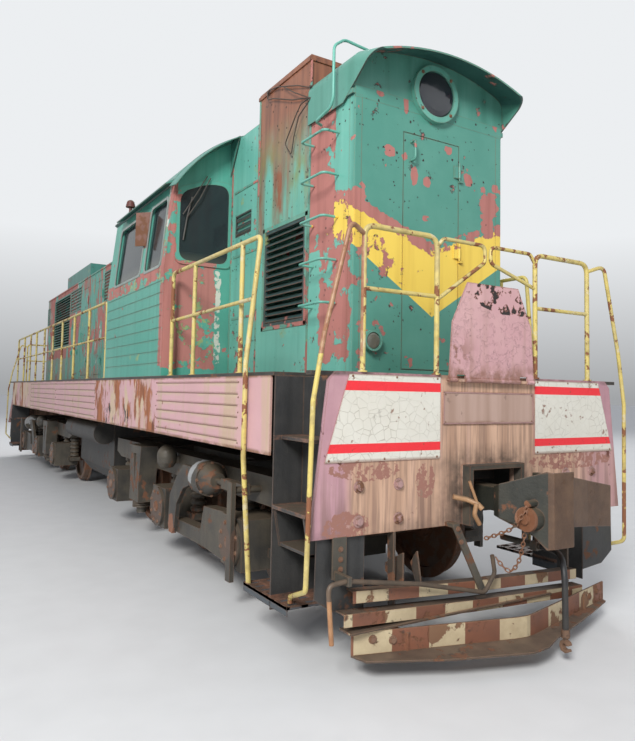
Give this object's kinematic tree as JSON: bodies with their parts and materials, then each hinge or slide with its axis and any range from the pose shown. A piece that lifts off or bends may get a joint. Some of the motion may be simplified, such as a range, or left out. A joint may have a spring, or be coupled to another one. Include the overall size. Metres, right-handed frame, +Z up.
{
  "type": "diesel shunting locomotive",
  "caption": "Diesel-electric shunting locomotive with two three-axle bogies, a long engine hood, an arched cab and a tall resistor tower on its short hood.",
  "frame": {"origin": "middle of the locomotive on the plane its wheel flanges stand on", "axes": "+X along the track towards the tower end, +Y to the right of the pictured side's far side, +Z up"},
  "size_m": [17.22, 3.2692, 4.9239],
  "materials": {
    "body_paint": "faded teal green gloss paint with primer patches and rust",
    "tower_paint": "faded teal green paint with yellow chevron, primer patches and rust",
    "skirt_paint": "faded pink-red paint with rust streaks",
    "end_paint": "pink paint, white cracked panels with red stripes, rust",
    "rail_paint": "yellow paint worn to rust",
    "frame_paint": "dark grey oily paint",
    "bogie_cast": "dark grey grimy castings",
    "wheel_steel": "rusty rolled steel",
    "coupler_cast": "rusty casting",
    "guard_paint": "cream and red-brown blocks worn to rust",
    "roof_paint": "dark green weathered roof paint",
    "grille_dark": "dark blades",
    "louvre_paint": "green blades with dirt",
    "pane": "dusty tinted glass",
    "interior": "pale grey-green interior paint",
    "seat_cover": "worn black cover",
    "engine_paint": "grey engine paint",
    "lamp_rim": "green rim, dark lens",
    "step_steel": "dark steel with rust"
  },
  "bodies": {
    "root": {"cab_body": "body_paint", "cab_desk": "interior", "cab_glass": "pane", "cab_roof": "roof_paint", "cab_seats": "seat_cover", "end_beam_front": "end_paint", "end_beam_rear": "end_paint", "engine_block": "engine_paint", "fuel_tank": "frame_paint", "hood_roof": "roof_paint", "hood_shell": "body_paint", "hood_vents": "louvre_paint", "lamps_front": "lamp_rim", "lamps_rear": "lamp_rim", "radiator_shutters": "louvre_paint", "rail_guard_front": "guard_paint", "rail_guard_rear": "guard_paint", "railing_end_front": "rail_paint", "railing_end_rear": "rail_paint", "railing_hood_left": "rail_paint", "railing_hood_right": "rail_paint", "railing_tower_left": "rail_paint", "railing_tower_right": "rail_paint", "roof_handrail": "rail_paint", "roof_hatch": "roof_paint", "skirt_left": "skirt_paint", "skirt_right": "skirt_paint", "steps_front": "step_steel", "steps_rear": "step_steel", "tower_grilles": "grille_dark", "tower_roof": "tower_paint", "tower_shell": "tower_paint", "underframe": "frame_paint"},
    "coupler_front": {"coupler_front": "coupler_cast"},
    "coupler_rear": {"coupler_rear": "coupler_cast"},
    "gangway_front": {"gangway_plate_front": "end_paint"},
    "gangway_rear": {"gangway_plate_rear": "end_paint"},
    "bogie_front": {"bogie_frame_front": "bogie_cast", "axle_boxes_front": "bogie_cast", "traction_motors_front": "bogie_cast"},
    "bogie_rear": {"bogie_frame_rear": "bogie_cast", "axle_boxes_rear": "bogie_cast", "traction_motors_rear": "bogie_cast"},
    "cab_door_front": {"cab_door_front": "body_paint"},
    "cab_door_rear": {"cab_door_rear": "body_paint"},
    "hood_door_left_1": {"hood_door_left_1": "body_paint"},
    "hood_door_left_2": {"hood_door_left_2": "body_paint"},
    "hood_door_right_1": {"hood_door_right_1": "body_paint"},
    "hood_door_right_2": {"hood_door_right_2": "body_paint"},
    "tower_door": {"tower_door": "tower_paint"},
    "radiator_fan": {"radiator_fan": "grille_dark"},
    "wheelset_1": {"wheelset_1": "wheel_steel"},
    "wheelset_2": {"wheelset_2": "wheel_steel"},
    "wheelset_3": {"wheelset_3": "wheel_steel"},
    "wheelset_4": {"wheelset_4": "wheel_steel"},
    "wheelset_5": {"wheelset_5": "wheel_steel"},
    "wheelset_6": {"wheelset_6": "wheel_steel"}
  },
  "joints": [
    {"name": "wheelset_1_roll", "type": "hinge", "parent": "bogie_front", "child": "wheelset_1", "pos_m": [6.33, 0, 0.553], "axis": [0, 1, 0], "continuous": true},
    {"name": "wheelset_2_roll", "type": "hinge", "parent": "bogie_front", "child": "wheelset_2", "pos_m": [4.33, 0, 0.553], "axis": [0, 1, 0], "continuous": true},
    {"name": "wheelset_3_roll", "type": "hinge", "parent": "bogie_front", "child": "wheelset_3", "pos_m": [2.33, 0, 0.553], "axis": [0, 1, 0], "continuous": true},
    {"name": "wheelset_4_roll", "type": "hinge", "parent": "bogie_rear", "child": "wheelset_4", "pos_m": [-2.33, 0, 0.553], "axis": [0, 1, 0], "continuous": true},
    {"name": "wheelset_5_roll", "type": "hinge", "parent": "bogie_rear", "child": "wheelset_5", "pos_m": [-4.33, 0, 0.553], "axis": [0, 1, 0], "continuous": true},
    {"name": "wheelset_6_roll", "type": "hinge", "parent": "bogie_rear", "child": "wheelset_6", "pos_m": [-6.33, 0, 0.553], "axis": [0, 1, 0], "continuous": true},
    {"name": "bogie_front_yaw", "type": "hinge", "parent": "root", "child": "bogie_front", "pos_m": [4.33, 0, 1.2], "axis": [0, 0, 1], "range_deg": [-3, 3]},
    {"name": "bogie_rear_yaw", "type": "hinge", "parent": "root", "child": "bogie_rear", "pos_m": [-4.33, 0, 1.2], "axis": [0, 0, 1], "range_deg": [-3, 3]},
    {"name": "coupler_front_swing", "type": "hinge", "parent": "root", "child": "coupler_front", "pos_m": [7.6, 0, 1.088], "axis": [0, 0, 1], "range_deg": [-5, 5]},
    {"name": "coupler_rear_swing", "type": "hinge", "parent": "root", "child": "coupler_rear", "pos_m": [-7.6, 0, 1.088], "axis": [0, 0, 1], "range_deg": [-5, 5]},
    {"name": "gangway_front_fold", "type": "hinge", "parent": "root", "child": "gangway_front", "pos_m": [8.034, 0, 1.96], "axis": [0, 1, 0], "range_deg": [0, 95]},
    {"name": "gangway_rear_fold", "type": "hinge", "parent": "root", "child": "gangway_rear", "pos_m": [-8.034, 0, 1.96], "axis": [0, -1, 0], "range_deg": [0, 95]},
    {"name": "cab_door_front_swing", "type": "hinge", "parent": "root", "child": "cab_door_front", "pos_m": [4.794, 1.444, 2.894], "axis": [0, 0, -1], "range_deg": [0, 90]},
    {"name": "cab_door_rear_swing", "type": "hinge", "parent": "root", "child": "cab_door_rear", "pos_m": [2.526, -1.444, 2.894], "axis": [0, 0, -1], "range_deg": [0, 90]},
    {"name": "hood_door_left_1_swing", "type": "hinge", "parent": "root", "child": "hood_door_left_1", "pos_m": [-2.163, -0.866, 2.994], "axis": [0, 0, 1], "range_deg": [0, 95]},
    {"name": "hood_door_right_1_swing", "type": "hinge", "parent": "root", "child": "hood_door_right_1", "pos_m": [-2.163, 0.866, 2.994], "axis": [0, 0, -1], "range_deg": [0, 95]},
    {"name": "hood_door_left_2_swing", "type": "hinge", "parent": "root", "child": "hood_door_left_2", "pos_m": [-0.963, -0.866, 2.994], "axis": [0, 0, 1], "range_deg": [0, 95]},
    {"name": "hood_door_right_2_swing", "type": "hinge", "parent": "root", "child": "hood_door_right_2", "pos_m": [-0.963, 0.866, 2.994], "axis": [0, 0, -1], "range_deg": [0, 95]},
    {"name": "tower_door_swing", "type": "hinge", "parent": "root", "child": "tower_door", "pos_m": [7.336, 0.297, 2.994], "axis": [0, 0, 1], "range_deg": [0, 100]},
    {"name": "radiator_fan_spin", "type": "hinge", "parent": "root", "child": "radiator_fan", "pos_m": [-4.9, 0, 4.258], "axis": [0, 0, 1], "continuous": true}
  ]
}
